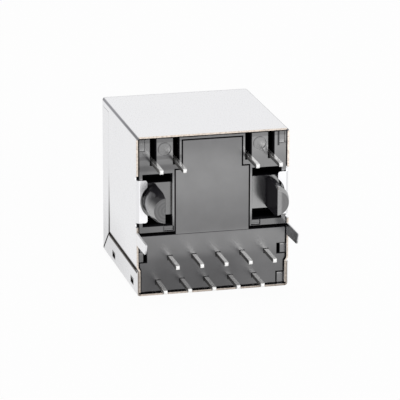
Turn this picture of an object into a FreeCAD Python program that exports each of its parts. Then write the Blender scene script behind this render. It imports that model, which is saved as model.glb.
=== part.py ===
import FreeCAD, Part
import math
import os

# Upright shielded ethernet jack, lying on its back panel with its board side to the front.
# X runs across the width, Y from the board side to the plug face, Z up from the back panel.
# Until the last step Y is counted from the board edge of the shield.

# Plug cavity
plug_width = 11.8
plug_height = 6.9
plug_depth = 12.45
keyway_width = 6.3
keyway_height = 3.05

# Walls of the mouldings
side_wall = 1.67
top_wall = 0.39
front_wall = 1.35
floor_thickness = 3.53
face_recess = 0.3
moulding_gap = 0.04
least_round = 0.05
seam_gap = 0.35
tongue_gap = 0.1

# Shield sheet
sheet = 0.18
sheet_gap = 0.03
bend_radius = 0.2
back_flap = 2.6
plug_flap = 2.95
back_groove = 0.08
plug_groove = 0.45
plug_groove_length = 8.0
flap_clear_of_top = 0.1
joggle_rise = 0.35
mitre_width = 0.1
tab_level = 6.11
tab_width = 1.27
tab_tip_width = 1.16
tab_length = 4.05
tab_slant = 0.5
tab_corner = 0.12
ear_height = 4.5
ear_reach = 1.14
ear_relief = 0.47
ear_relief_depth = 0.7
ear_round = 0.25
opening_margin = 0.1

# Latches between the two shield sheets
latch_places = (2.25, 11.0)
latch_window_length = 1.25
latch_window_height = 0.5
latch_window_level = 0.77
latch_margin = 0.1

# Grounding springs folded in at the sides of the plug opening
spring_width = 2.4
spring_level = 3.4
spring_length = 5.2
spring_straight = 1.3
spring_peak = 3.64
spring_bulge = 0.65
spring_room = 0.12

# Locating posts, with the islands and pockets round them
post_spacing = 11.43
post_rise = 3.73
post_radius = 1.6
post_tip_radius = 1.32
post_lead_in = 1.0
post_length = 3.55
post_flat = 0.1
post_gap = 0.28
island_height = 3.5
island_recess = 0.5
pocket_height = 1.0
pocket_depth = 2.7
pocket_rib = 0.25
pocket_wall = 0.5

# Lights
led_width = 2.8
led_height = 2.0
led_depth = 3.8
led_shelf = 0.4
led_wall = 0.39
led_setback = 0.05
led_round = 0.2
led_lead_pitch = 2.4
led_lead_rise = 0.43
led_lead_length = 3.6
lead_slot = 0.66
lead_slot_drop = 0.31
lead_wall = 0.1

# Marks on the board face of the housing
ejector_radius = 0.66
ejector_rise = 1.32
mark_depth = 0.15
corner_pad_width = 0.55
corner_pad_height = 1.2
bar_mark_inner = 4.1
bar_mark_width = 0.95
bar_mark_height = 0.5
bar_mark_rise = 0.1

# Contact carrier
carrier_top = 6.25
carrier_width = 12.9
carrier_side_wall = 0.6
carrier_wall = 0.5
carrier_roof = 1.45
carrier_end_wall = 0.7
flange_thickness = 1.4
tongue_width = 7.7
neck_width = 6.2
block_step = 0.05
lug_level = 3.97
lug_height = 1.03
lug_notch = 0.93
lug_width = 0.58
lug_setback = 0.15
key_height = 1.15
key_width = 0.67
key_gap = 0.13

# Board pins
pin_pitch = 2.54
pin_count = 5
pin_row_low = 1.27
pin_row_gap = 2.54
pin_stagger = 1.27
pin_size = 0.45
pin_length = 3.3
pin_inside = 1.0
pin_point = 0.12
pin_gap = 0.02

# Spring contacts
contact_count = 8
contact_pitch = 1.02
contact_width = 0.4
contact_thickness = 0.3
contact_gap = 0.03
contact_bend = 0.35
contact_leg_place = 5.6
contact_front_margin = 1.1
contact_lift = 0.5
contact_free_rise = 2.2
contact_free_margin = 0.25
contact_through = 0.2
comb_depth = 0.75
comb_rise = 0.5

# Module inside the carrier
board_thickness = 0.6
board_margin = 0.1
core_wall = 0.65
core_height = 1.7
winding_wall = 0.1
winding_turn = 300
coil_count = 4
coil_margin = 0.2
coil_side_room = 0.25
chip_length = 1.0
chip_width = 0.5
chip_height = 0.35
chip_gap = 0.35
chip_cap = 0.2
chip_cap_lift = 0.04
capacitor_length = 2.0
capacitor_width = 1.25
capacitor_height = 1.2

# Levels along Y, counted from the board edge of the shield
face_level = face_recess
floor_level = face_level + floor_thickness
front_level = floor_level + plug_depth
plug_face = front_level + moulding_gap + sheet
flange_end = face_level + flange_thickness
carrier_end = front_level - front_wall - moulding_gap
main_end = plug_face - plug_flap - plug_groove
shell_end = plug_face - sheet - sheet_gap
pin_end = flange_end + carrier_end_wall + pin_inside
led_front = plug_face - led_setback
led_back = led_front - led_depth

# Levels along Z, counted from the outside of the back panel
moulding_low = sheet + moulding_gap
cavity_low = carrier_top + moulding_gap
cavity_high = cavity_low + plug_height
keyway_high = cavity_high + keyway_height
body_height = keyway_high + top_wall + moulding_gap + sheet
joggle_low = back_flap + back_groove
joggle_high = joggle_low + joggle_rise
post_level = cavity_low + post_rise
spring_low = cavity_low + spring_level - spring_width / 2
led_low = cavity_high + led_shelf
led_lead_level = led_low + led_lead_rise
roof_low = carrier_top - carrier_roof
board_low = roof_low - board_thickness

# Places along X, and the height of the plug flap
joggle = sheet + sheet_gap
inset = sheet + moulding_gap
half_moulding = max(plug_width / 2 + side_wall, carrier_width / 2 + moulding_gap + carrier_side_wall)
half_width = half_moulding + inset + joggle
corner_radius = bend_radius + sheet
flap_top = body_height - corner_radius - inset - moulding_gap - sheet_gap - flap_clear_of_top
led_place = max(keyway_width / 2 + led_wall + moulding_gap + led_width / 2,
                neck_width / 2 + tongue_gap + lead_wall + lead_slot / 2 + led_lead_pitch / 2)
pocket_inner = tongue_width / 2 + tongue_gap + pocket_rib
pocket_outer = half_width - inset - pocket_wall

# The longest piece past the board edge, and the room left round a cut
reach = max(tab_length, post_length, led_lead_length, pin_length)
past = body_height + reach


def box(x, y, z):
    """Block between the pairs of values x, y and z."""
    size = [max(pair) - min(pair) for pair in (x, y, z)]
    return Part.makeBox(*size, FreeCAD.Vector(min(x), min(y), min(z)))


def on_both_sides(shape):
    """The shape and its mirror image across the middle of the jack."""
    other = shape.mirror(FreeCAD.Vector(0, 0, 0), FreeCAD.Vector(1, 0, 0))
    return [shape, other]


def prism(points, direction):
    """Solid pushed along a direction from a closed polygon."""
    wire = Part.makePolygon([*points, points[0]])
    return Part.Face(wire).extrude(direction)


def bent_strip(path, radius, thickness, place, direction):
    """Strip of sheet or wire along a flat path, rounded at its corners and pushed along a direction.

    The function place turns a point of the path into a point in space.
    """
    points = [FreeCAD.Vector(u, v, 0) for u, v in path]
    up = FreeCAD.Vector(0, 0, 1)
    runs = [(b - a).normalize() for a, b in zip(points, points[1:])]
    normals = [up.cross(run) for run in runs]

    def side(offset):
        edges = []
        start = points[0] + normals[0] * offset
        for corner, (run, after) in enumerate(zip(runs, runs[1:]), 1):
            turn = math.atan2(run.cross(after).z, run.dot(after))
            setback = radius * math.tan(abs(turn) / 2)
            inward = math.copysign(1, turn)
            entry = points[corner] - run * setback
            centre = entry + normals[corner - 1] * radius * inward
            exit_point = points[corner] + after * setback
            middle = (points[corner] - centre).normalize() * (radius - offset * inward) + centre
            first = entry + normals[corner - 1] * offset
            last = exit_point + normals[corner] * offset
            edges.append(Part.LineSegment(start, first).toShape())
            edges.append(Part.Arc(first, middle, last).toShape())
            start = last
        end = points[-1] + normals[-1] * offset
        edges.append(Part.LineSegment(start, end).toShape())
        return edges, end

    left, left_end = side(thickness / 2)
    right, right_end = side(-thickness / 2)
    half = normals[0] * thickness / 2
    caps = [
        Part.LineSegment(left_end, right_end).toShape(),
        Part.LineSegment(points[0] + half, points[0] - half).toShape(),
    ]
    flat = Part.Face(Part.Wire(Part.__sortEdges__([*left, *right, *caps])))
    zero, along_u, along_v = place(0, 0), place(1, 0), place(0, 1)
    along_u, along_v = along_u - zero, along_v - zero
    normal = along_u.cross(along_v)
    flat.Placement = FreeCAD.Placement(FreeCAD.Matrix(
        along_u.x, along_v.x, normal.x, zero.x,
        along_u.y, along_v.y, normal.y, zero.y,
        along_u.z, along_v.z, normal.z, zero.z,
        0, 0, 0, 1))
    return flat.extrude(direction)


def arch(half, low, top, radius, joggled):
    """Outline across the jack: two sides and a top with rounded corners, and a joggle low on each side."""
    foot = half - joggle if joggled else half
    side = [(foot, low)]
    if joggled:
        side += [(foot, joggle_low), (half, joggle_high)]
    side.append((half, top - radius))
    right = [FreeCAD.Vector(x, 0, z) for x, z in side]
    left = [FreeCAD.Vector(-x, 0, z) for x, z in side]
    slant = radius * math.sqrt(0.5)
    edges = [Part.LineSegment(a, b).toShape() for a, b in zip(right, right[1:])]
    for sign, corner in ((1, right[-1]), (-1, left[-1])):
        crown = FreeCAD.Vector(sign * (half - radius), 0, top)
        middle = FreeCAD.Vector(sign * (half - radius + slant), 0, top - radius + slant)
        edges.append(Part.Arc(corner, middle, crown).toShape())
    edges.append(Part.LineSegment(FreeCAD.Vector(half - radius, 0, top),
                                  FreeCAD.Vector(radius - half, 0, top)).toShape())
    edges += [Part.LineSegment(a, b).toShape() for a, b in zip(left, left[1:])]
    edges.append(Part.LineSegment(left[0], right[0]).toShape())
    return Part.Face(Part.Wire(Part.__sortEdges__(edges)))


def envelope(margin, low, start, step_end, end):
    """Space inside the folded shell, a margin in from its outside, with the steps under the flaps."""
    top = body_height - margin
    radius = max(corner_radius - margin, least_round)
    main = arch(half_width - margin, low, top, radius, True)
    far = arch(half_width - joggle - margin, low, top, radius, False)
    over_flap = arch(half_width - margin, flap_top + sheet_gap + margin, top, radius, False)
    solids = []
    for outline, stop in ((main, step_end), (far, end), (over_flap, end)):
        outline.translate(FreeCAD.Vector(0, start, 0))
        solids.append(outline.extrude(FreeCAD.Vector(0, stop - start, 0)))
    return solids[0].multiFuse(solids[1:]).removeSplitter()


def shield_shell():
    """Top and side panels, folded from one sheet, with ears, tabs and latch lugs."""
    outside = envelope(0, sheet + bend_radius, 0, main_end, shell_end)
    inside = envelope(sheet, -past, -past, main_end - sheet, past)
    shell = outside.cut(inside)
    ear_span = (post_level - ear_height / 2, post_level + ear_height / 2)
    relief = box((half_width - joggle - sheet, half_width + sheet), (-sheet, ear_relief_depth),
                 (ear_span[0] - ear_relief, ear_span[1] + ear_relief))
    bend_room = box((half_width - joggle - sheet, half_width + sheet),
                    (plug_face - sheet - bend_radius, plug_face + sheet),
                    (0, body_height - sheet))
    shell = shell.cut(on_both_sides(relief) + on_both_sides(bend_room))

    ear = bent_strip(
        [(half_width - sheet / 2, ear_relief_depth), (half_width - sheet / 2, sheet / 2),
         (half_width - ear_reach, sheet / 2)],
        bend_radius + sheet / 2, sheet,
        lambda u, v: FreeCAD.Vector(u, v, ear_span[0]), FreeCAD.Vector(0, 0, ear_height))
    bite = Part.makeCylinder(post_radius + post_gap, 2 * past,
                             FreeCAD.Vector(post_spacing / 2, -past, post_level), FreeCAD.Vector(0, 1, 0))
    ear = ear.cut(bite)
    tip = half_width - ear_reach
    tip_edges = [edge for edge in ear.Edges if all(abs(v.Point.x - tip) < sheet / 10 for v in edge.Vertexes)
                 and abs(edge.Vertexes[0].Point.y - edge.Vertexes[1].Point.y) > sheet / 2]
    ear = ear.makeFillet(ear_round, tip_edges)

    low = tab_level - tab_width / 2
    high = tab_level + tab_width / 2
    tab_outline = [(sheet, low), (sheet, high), (-tab_length + tab_corner, high),
                   (-tab_length, high - tab_corner), (-tab_length + tab_slant, high - tab_tip_width)]
    tab = prism([FreeCAD.Vector(half_width - sheet, y, z) for y, z in tab_outline],
                FreeCAD.Vector(sheet, 0, 0))

    lugs = []
    lug_root = half_width - joggle
    lug_low = latch_window_level + latch_margin
    lug_high = latch_window_level + latch_window_height - latch_margin
    for place in latch_places:
        start = place - latch_window_length / 2 + latch_margin
        lug = prism([FreeCAD.Vector(lug_root - sheet / 2, start, max(lug_low, sheet + bend_radius)),
                     FreeCAD.Vector(lug_root, start, max(lug_low, sheet + bend_radius)),
                     FreeCAD.Vector(half_width - sheet_gap, start, lug_high),
                     FreeCAD.Vector(lug_root - sheet / 2, start, lug_high)],
                    FreeCAD.Vector(0, latch_window_length - 2 * latch_margin, 0))
        lugs += on_both_sides(lug)
    pieces = on_both_sides(ear) + on_both_sides(tab) + lugs
    return shell.multiFuse(pieces).removeSplitter()


def shield_cover():
    """Back panel and plug-face plate, folded from one sheet, with flaps over the shell's sides."""

    def tray(margin, past_board, past_top):
        block = box((margin - half_width, half_width - margin), (-past_board, plug_face - margin),
                    (margin, body_height + past_top))
        folds = []
        for edge in block.Edges:
            ends = [vertex.Point for vertex in edge.Vertexes]
            on_back = all(point.z < margin + sheet / 2 for point in ends)
            on_plug = all(point.y > plug_face - margin - sheet / 2 for point in ends)
            on_side = abs(ends[0].x - ends[1].x) < sheet / 2
            if (on_back and on_plug) or (on_side and (on_back or on_plug)):
                folds.append(edge)
        return block.makeFillet(corner_radius - margin, folds)

    cover = tray(0, 0, 0).cut(tray(sheet, past, past))
    corner = box((half_width - corner_radius, half_width + sheet), (-sheet, plug_face + sheet),
                 (body_height - corner_radius, body_height + sheet))
    corner = corner.cut(Part.makeCylinder(
        corner_radius, plug_face + 2 * sheet,
        FreeCAD.Vector(half_width - corner_radius, -sheet, body_height - corner_radius),
        FreeCAD.Vector(0, 1, 0)))

    side = (half_width - sheet - sheet_gap / 2, half_width + sheet)
    groove_end = main_end + sheet_gap
    flap_outline = [(-past, back_flap), (plug_face - plug_flap, back_flap),
                    (groove_end, back_flap + plug_groove_length), (groove_end, past), (-past, past)]
    above_flap = prism([FreeCAD.Vector(side[0], y, z) for y, z in flap_outline],
                       FreeCAD.Vector(side[1] - side[0], 0, 0))
    above_plug_flap = box((half_width - corner_radius, half_width + sheet), (-past, plug_face - sheet),
                          (flap_top, past))
    mitre_start = FreeCAD.Vector(side[0], plug_face - plug_flap - mitre_width, back_flap + mitre_width)
    mitre_end = FreeCAD.Vector(side[0], plug_face + sheet, -sheet)
    across = FreeCAD.Vector(0, mitre_width / 2, mitre_width / 2)
    mitre = prism([mitre_start - across, mitre_start + across, mitre_end + across, mitre_end - across],
                  FreeCAD.Vector(side[1] - side[0], 0, 0))
    keep_back = box(side, (-past, past), (-past, sheet + bend_radius))
    keep_plug = box(side, (plug_face - sheet - bend_radius, past), (-past, past))
    mitre = mitre.cut([keep_back, keep_plug])
    windows = []
    for place in latch_places:
        windows.append(box(side, (place - latch_window_length / 2, place + latch_window_length / 2),
                           (latch_window_level, latch_window_level + latch_window_height)))
    cuts = []
    for cut in [above_flap, above_plug_flap, corner, mitre, *windows]:
        cuts += on_both_sides(cut)

    through = (plug_face - 2 * sheet, plug_face + sheet)
    opening_half = plug_width / 2 + opening_margin
    cuts.append(box((-opening_half, opening_half), through,
                    (cavity_low - opening_margin, cavity_high + opening_margin)))
    keyway_half = keyway_width / 2 + opening_margin
    cuts.append(box((-keyway_half, keyway_half), through, (cavity_high, keyway_high)))
    light = box((led_place - led_width / 2 - moulding_gap, led_place + led_width / 2 + moulding_gap), through,
                (led_low - moulding_gap, led_low + led_height + moulding_gap))
    cuts += on_both_sides(light)
    cover = cover.cut(cuts)

    plate_middle = plug_face - sheet / 2
    root = opening_half + sheet / 2
    spring = bent_strip(
        [(root + bend_radius + sheet, plate_middle), (root, plate_middle),
         (root, plug_face - spring_straight), (root - spring_bulge, plug_face - spring_peak),
         (root, plug_face - spring_length)],
        bend_radius + sheet / 2, sheet,
        lambda u, v: FreeCAD.Vector(u, v, spring_low), FreeCAD.Vector(0, 0, spring_width))
    return cover.multiFuse(on_both_sides(spring)).removeSplitter()


def housing():
    """Main moulding: plug cavity, light channels, pocket for the carrier and locating posts."""
    body = envelope(inset, moulding_low, face_level, main_end - inset, front_level)
    wide = (-past, past)
    cuts = []
    cuts.append(box((-plug_width / 2, plug_width / 2), (floor_level, past), (cavity_low, cavity_high)))
    cuts.append(box((-keyway_width / 2, keyway_width / 2), (floor_level, past), (cavity_low, keyway_high)))
    carrier_half = carrier_width / 2 + moulding_gap
    cuts.append(box((-carrier_half, carrier_half), (-past, carrier_end + moulding_gap), (-past, cavity_low)))
    tail_half = max(x for x, z in pin_places()) + pin_size / 2 + pin_gap
    cuts.append(box((-tail_half, tail_half), (-past, pin_end + pin_gap), (-past, cavity_low)))
    cuts.append(box(wide, (-past, flange_end + moulding_gap), (-past, carrier_top + seam_gap)))
    tongue_half = tongue_width / 2 + tongue_gap
    cuts.append(box((-tongue_half, tongue_half), (-past, floor_level), (0, cavity_high)))
    neck_half = neck_width / 2 + tongue_gap
    cuts.append(box((-neck_half, neck_half), (-past, floor_level), (0, keyway_high)))
    cuts += comb_slots()

    sided = []
    light_half = led_width / 2 + moulding_gap
    sided.append(box((led_place - light_half, led_place + light_half), (led_back - moulding_gap, past),
                     (led_low - moulding_gap, led_low + led_height + moulding_gap)))
    for lead in (-1, 1):
        middle = led_place + lead * led_lead_pitch / 2
        sided.append(box((middle - lead_slot / 2, middle + lead_slot / 2), (-past, led_back),
                         (led_lead_level - lead_slot_drop, past)))
    sided.append(box((pocket_inner, pocket_outer), (-past, face_level + island_recess),
                     (post_level - island_height / 2, post_level + island_height / 2)))
    for low in (post_level - island_height / 2 - pocket_height, post_level + island_height / 2):
        sided.append(box((pocket_inner, pocket_outer), (-past, face_level + pocket_depth),
                         (low, low + pocket_height)))
    ear_half = ear_height / 2 + sheet_gap
    sided.append(box((half_width - sheet - bend_radius - moulding_gap, past),
                     (-past, sheet + bend_radius + moulding_gap),
                     (post_level - ear_half, post_level + ear_half)))
    pad_edge = half_width - inset - corner_radius / 2
    pad_top = body_height - inset - corner_radius / 2
    sided.append(box((pad_edge - corner_pad_width, pad_edge), (-past, face_level + mark_depth),
                     (pad_top - corner_pad_height, pad_top)))
    mark_low = carrier_top + seam_gap + bar_mark_rise
    sided.append(box((bar_mark_inner, bar_mark_inner + bar_mark_width), (-past, face_level + mark_depth),
                     (mark_low, mark_low + bar_mark_height)))
    sided.append(Part.makeCylinder(
        ejector_radius, past + face_level + mark_depth,
        FreeCAD.Vector(led_place, -past, led_lead_level + ejector_rise), FreeCAD.Vector(0, 1, 0)))
    spring_depth = plug_width / 2 + opening_margin + sheet + spring_room
    sided.append(box((0, spring_depth), (plug_face - spring_length - spring_room, past),
                     (spring_low - spring_room, spring_low + spring_width + spring_room)))
    lug_notch_inner = half_width - inset - lug_notch
    sided.append(box((lug_notch_inner, half_width - inset - lug_width), (0, face_level + pocket_depth),
                     (lug_level - lug_height / 2, lug_level + lug_height / 2)))
    for cut in sided:
        cuts += on_both_sides(cut)
    fold = [(front_level - bend_radius, moulding_low), (front_level, moulding_low),
            (front_level, moulding_low + bend_radius)]
    cuts.append(prism([FreeCAD.Vector(-past, y, z) for y, z in fold], FreeCAD.Vector(2 * past, 0, 0)))
    body = body.cut(cuts)

    axis = FreeCAD.Vector(0, -1, 0)
    foot = face_level + island_recess
    straight = foot + post_length - post_lead_in
    post = Part.makeCylinder(post_radius, straight, FreeCAD.Vector(post_spacing / 2, foot, post_level), axis)
    tip = Part.makeCone(post_radius, post_tip_radius, post_lead_in,
                        FreeCAD.Vector(post_spacing / 2, foot - straight, post_level), axis)
    outer_half = box((post_spacing / 2 + post_flat, past), wide, wide)
    post = post.fuse(tip).common(outer_half).removeSplitter()
    clear_of_ear = half_width - sheet - bend_radius - moulding_gap
    post = post.common(box((0, clear_of_ear), wide, wide))

    lug_outer = half_width - inset
    lug = box((lug_outer - lug_width, lug_outer), (face_level + lug_setback, flange_end + carrier_end_wall),
              (lug_level - lug_height / 2, lug_level + lug_height / 2))
    key_outer = half_width - inset - joggle
    key = box((key_outer - key_width, key_outer),
              (face_level + lug_setback, flange_end + carrier_end_wall),
              (moulding_low, moulding_low + key_height))
    return body.multiFuse(on_both_sides(post) + on_both_sides(lug) + [key]).removeSplitter()


def pin_places():
    """Middle of each board pin: two rows, the upper one set off to the right."""
    places = []
    for row, shift in enumerate((-pin_stagger / 2, pin_stagger / 2)):
        for column in range(pin_count):
            x = (column - (pin_count - 1) / 2) * pin_pitch + shift
            places.append((x, pin_row_low + row * pin_row_gap))
    return places


def contact_places():
    """Middle of each spring contact across the plug cavity."""
    return [(i - (contact_count - 1) / 2) * contact_pitch for i in range(contact_count)]


def comb_slots():
    """Slots at the bottom of the plug cavity that keep the free ends of the contacts apart."""
    half = contact_width / 2 + contact_gap
    top = cavity_low + contact_free_rise + contact_thickness + comb_rise
    return [box((x - half, x + half), (floor_level - comb_depth, floor_level), (carrier_top, top))
            for x in contact_places()]


contact_floor = cavity_low - contact_lift - contact_thickness
contact_front = carrier_end - contact_front_margin


def contact_carrier():
    """T-shaped moulding: flange with the board pins, block over the module, tongue under the plug."""
    low = moulding_low + moulding_gap
    flange = envelope(inset + moulding_gap, low, face_level + block_step, flange_end, flange_end)
    wide = (-past, past)
    flange = flange.common(box(wide, wide, (0, carrier_top)))
    block = box((-carrier_width / 2, carrier_width / 2), (flange_end, carrier_end), (low, carrier_top))
    tongue = box((-tongue_width / 2, tongue_width / 2), (face_level, floor_level),
                 (carrier_top, cavity_high - tongue_gap))
    neck = box((-neck_width / 2, neck_width / 2), (face_level, floor_level),
               (carrier_top, keyway_high - tongue_gap))
    root = box((-tongue_width / 2, tongue_width / 2), (face_level + block_step, floor_level),
               (roof_low, carrier_top))
    body = flange.multiFuse([block, tongue, neck, root]).removeSplitter()

    inner_half = carrier_width / 2 - carrier_wall
    cuts = [box((-inner_half, inner_half), (flange_end + carrier_end_wall, carrier_end - carrier_end_wall),
                (-past, roof_low))]
    hole = pin_size / 2 + pin_gap
    for x, z in pin_places():
        cuts.append(box((x - hole, x + hole), (-past, pin_end), (z - hole, z + hole)))
    slot = contact_width / 2 + contact_gap
    leg = contact_thickness / 2 + contact_gap
    for x in contact_places():
        cuts.append(box((x - slot, x + slot), (contact_leg_place - leg, contact_front + contact_thickness),
                        (contact_floor, past)))
        cuts.append(box((x - slot, x + slot), (contact_leg_place - leg, contact_leg_place + contact_bend),
                        (roof_low, contact_floor)))
    cuts += comb_slots()
    notch = box((half_width - inset - lug_notch, past), (-past, flange_end),
                (lug_level - lug_height / 2 - moulding_gap, lug_level + lug_height / 2 + moulding_gap))
    cuts += on_both_sides(notch)
    key_inner = half_width - inset - joggle - key_width - key_gap
    cuts.append(box((key_inner, past), (-past, flange_end), (-past, moulding_low + key_height + key_gap)))
    return body.cut(cuts).removeSplitter()


def square_pin(x, z, tip, end, size):
    """Square wire along Y with a pointed tip."""
    half = size / 2

    def ring(y, grow):
        corners = [(-grow, -grow), (grow, -grow), (grow, grow), (-grow, grow), (-grow, -grow)]
        return Part.makePolygon([FreeCAD.Vector(x + dx, y, z + dz) for dx, dz in corners])

    shank = box((x - half, x + half), (tip + pin_point, end), (z - half, z + half))
    point = Part.makeLoft([ring(tip, half - pin_point), ring(tip + pin_point, half)], True, True)
    return shank.fuse(point).removeSplitter()


def spring_contact(x):
    """Wire from the module board, forward under the plug, then back and up to the comb."""
    run = contact_floor + contact_thickness / 2
    path = [(contact_leg_place, board_low - contact_through),
            (contact_leg_place, run),
            (contact_front, run),
            (contact_front, cavity_low + contact_lift),
            (floor_level - comb_depth + contact_free_margin, cavity_low + contact_free_rise)]
    return bent_strip(path, contact_bend, contact_thickness,
                      lambda u, v: FreeCAD.Vector(x - contact_width / 2, u, v),
                      FreeCAD.Vector(contact_width, 0, 0))


def led_lead(side, lead):
    """One lead of a light, straight from its back to past the board."""
    x = side * (led_place + lead * led_lead_pitch / 2)
    return square_pin(x, led_lead_level, -led_lead_length, led_back, pin_size)


def led_body(side):
    """Clear block of a light, rounded at its front edges."""
    x = side * led_place
    block = box((x - led_width / 2, x + led_width / 2), (led_back, led_front),
                (led_low, led_low + led_height))
    front = [edge for edge in block.Edges if all(v.Point.y > led_front - led_round for v in edge.Vertexes)]
    return block.makeFillet(led_round, front)


board_start = pin_end + board_margin
board_end = carrier_end - carrier_end_wall - board_margin
board_half = carrier_width / 2 - carrier_wall - board_margin

# The coils are the largest that fit across the carrier, and along it in two rows beside the chips
coil_start = contact_leg_place + contact_thickness / 2 + coil_margin
coil_end = board_end - capacitor_width - chip_gap
across_pitch = (carrier_width - 2 * (carrier_wall + coil_side_room) + coil_margin) / coil_count
along_pitch = (coil_end - coil_start + coil_margin) / 2
coil_pitch = min(across_pitch, along_pitch)
coil_radius = (coil_pitch - coil_margin) / 2
core_radius = coil_radius - winding_wall
core_bore = core_radius - core_wall


def module_board():
    """Small circuit board under the roof of the carrier, with a hole for each contact."""
    board = box((-board_half, board_half), (board_start, board_end), (board_low, roof_low))
    hole = contact_thickness / 2 + contact_gap
    slot = contact_width / 2 + contact_gap
    cuts = []
    for x in contact_places():
        cuts.append(box((x - slot, x + slot), (contact_leg_place - hole, contact_leg_place + hole),
                        (board_low, roof_low)))
    return board.cut(cuts)


def coil_places(row):
    """Middle of each coil in a row under the module board."""
    y = coil_start + coil_radius + row * coil_pitch
    return [((i - (coil_count - 1) / 2) * coil_pitch, y) for i in range(coil_count)]


def coil_core(x, y):
    """Ferrite ring."""
    low = FreeCAD.Vector(x, y, board_low - winding_wall - core_height)
    bore = Part.makeCylinder(core_bore, core_height, low)
    return Part.makeCylinder(core_radius, core_height, low).cut(bore)


def coil_winding(x, y):
    """Wound wire round most of a ring, as one sleeve that closes on it."""
    bottom = board_low - core_height - 2 * winding_wall
    inner, outer = core_bore - winding_wall, coil_radius

    def outline(near, far, low, high):
        corners = [(near, low), (far, low), (far, high), (near, high)]
        return Part.makePolygon([FreeCAD.Vector(x + r, y, z) for r, z in [*corners, corners[0]]])

    section = Part.Face(outline(inner, outer, bottom, board_low))
    room = Part.Face(outline(core_bore, core_radius, bottom + winding_wall, board_low - winding_wall))
    ring = section.cut(room).Faces[0]
    return ring.revolve(FreeCAD.Vector(x, y, 0), FreeCAD.Vector(0, 0, 1), winding_turn)


def board_chip(x, y, length, width, height):
    """Surface-mounted part under the module board, with its end caps a little proud."""
    middle = box((x - length / 2, x + length / 2), (y - width / 2, y + width / 2),
                 (board_low - height + chip_cap_lift, board_low))
    caps = [box((x + end * length / 2, x + end * (length / 2 - chip_cap)), (y - width / 2, y + width / 2),
                (board_low - height, board_low)) for end in (-1, 1)]
    return middle.multiFuse(caps).removeSplitter()


parts = {
    "shield_shell": shield_shell(),
    "shield_cover": shield_cover(),
    "housing": housing(),
    "contact_carrier": contact_carrier(),
    "module_board": module_board(),
}
for number, (x, z) in enumerate(pin_places(), 1):
    parts[f"board_pin_{number}"] = square_pin(x, z, -pin_length, pin_end, pin_size)
for number, x in enumerate(contact_places(), 1):
    parts[f"contact_{number}"] = spring_contact(x)
for name, side in (("left", -1), ("right", 1)):
    parts[f"led_{name}"] = led_body(side)
    parts[f"led_{name}_inner_lead"] = led_lead(side, -1)
    parts[f"led_{name}_outer_lead"] = led_lead(side, 1)
for row, kind in enumerate(("transformer", "choke")):
    for number, (x, y) in enumerate(coil_places(row), 1):
        parts[f"{kind}_core_{number}"] = coil_core(x, y)
        parts[f"{kind}_winding_{number}"] = coil_winding(x, y)
chip_row = coil_places(1)[0][1] + coil_radius + chip_gap + capacitor_width / 2
chip_step = chip_length + chip_gap
for number in range(coil_count):
    offset = capacitor_length / 2 + chip_gap + chip_length / 2 + (number // 2) * chip_step
    x = offset if number % 2 else -offset
    parts[f"resistor_{number + 1}"] = board_chip(x, chip_row, chip_length, chip_width, chip_height)
parts["capacitor"] = board_chip(0, chip_row, capacitor_length, capacitor_width, capacitor_height)

# The finished jack is centred between its tip and its plug face
os.makedirs("parts", exist_ok=True)
for name, shape in parts.items():
    shape.translate(FreeCAD.Vector(0, (reach - plug_face) / 2, 0))
    shape.exportStep(f"parts/{name}.step")
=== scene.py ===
import math

import bmesh
import bpy
from bpy.props import FloatProperty, FloatVectorProperty, PointerProperty
from bpy.types import Operator, Panel, PropertyGroup
from mathutils import Euler, Matrix, Vector
from mathutils.bvhtree import BVHTree


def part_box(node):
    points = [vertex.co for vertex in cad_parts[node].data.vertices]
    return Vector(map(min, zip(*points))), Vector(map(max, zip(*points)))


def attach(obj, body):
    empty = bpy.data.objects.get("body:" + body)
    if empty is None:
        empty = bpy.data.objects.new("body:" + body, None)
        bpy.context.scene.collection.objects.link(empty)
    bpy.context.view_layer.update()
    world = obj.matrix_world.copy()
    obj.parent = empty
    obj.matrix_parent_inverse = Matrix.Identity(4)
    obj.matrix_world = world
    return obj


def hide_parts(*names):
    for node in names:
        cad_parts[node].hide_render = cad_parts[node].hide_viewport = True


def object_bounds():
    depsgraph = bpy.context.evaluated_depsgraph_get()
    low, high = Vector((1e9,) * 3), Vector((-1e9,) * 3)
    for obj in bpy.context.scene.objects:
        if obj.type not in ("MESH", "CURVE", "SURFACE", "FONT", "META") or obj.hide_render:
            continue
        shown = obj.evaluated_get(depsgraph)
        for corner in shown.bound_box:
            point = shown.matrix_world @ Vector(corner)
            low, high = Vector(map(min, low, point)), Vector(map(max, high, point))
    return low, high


bl_info = {
    "name": "Shielded ethernet jack",
    "version": (1, 0, 0),
    "blender": (4, 5, 0),
    "location": "3D View > Sidebar > Jack",
    "description": "Finishes an upright shielded ethernet jack and sets it on a pale studio floor",
    "category": "Object",
}

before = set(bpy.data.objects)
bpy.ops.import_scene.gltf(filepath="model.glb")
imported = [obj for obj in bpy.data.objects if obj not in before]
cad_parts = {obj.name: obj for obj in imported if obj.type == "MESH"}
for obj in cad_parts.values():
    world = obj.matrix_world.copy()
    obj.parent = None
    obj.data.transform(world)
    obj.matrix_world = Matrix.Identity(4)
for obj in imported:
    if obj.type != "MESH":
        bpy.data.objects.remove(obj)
cad_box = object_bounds()

MM = 0.001
BODY = "root"

# Places from the frame, in millimetres: the outline and board edge of the shield, the board face of
# the mouldings, and the leads of the right light, which those of the left one mirror
shell_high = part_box("shield_shell")[1]
cover_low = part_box("shield_cover")[0]
carrier_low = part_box("contact_carrier")[0]
inner_low, inner_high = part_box("led_right_inner_lead")
outer_low, outer_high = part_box("led_right_outer_lead")
board_edge = cover_low.y / MM
shield_half = shell_high.x / MM
shield_top = shell_high.z / MM
board_face = carrier_low.y / MM
inner_lead = (inner_low.x + inner_high.x) / (2 * MM)
outer_lead = (outer_low.x + outer_high.x) / (2 * MM)
lead_level = (inner_low.z + inner_high.z) / (2 * MM)

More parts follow.
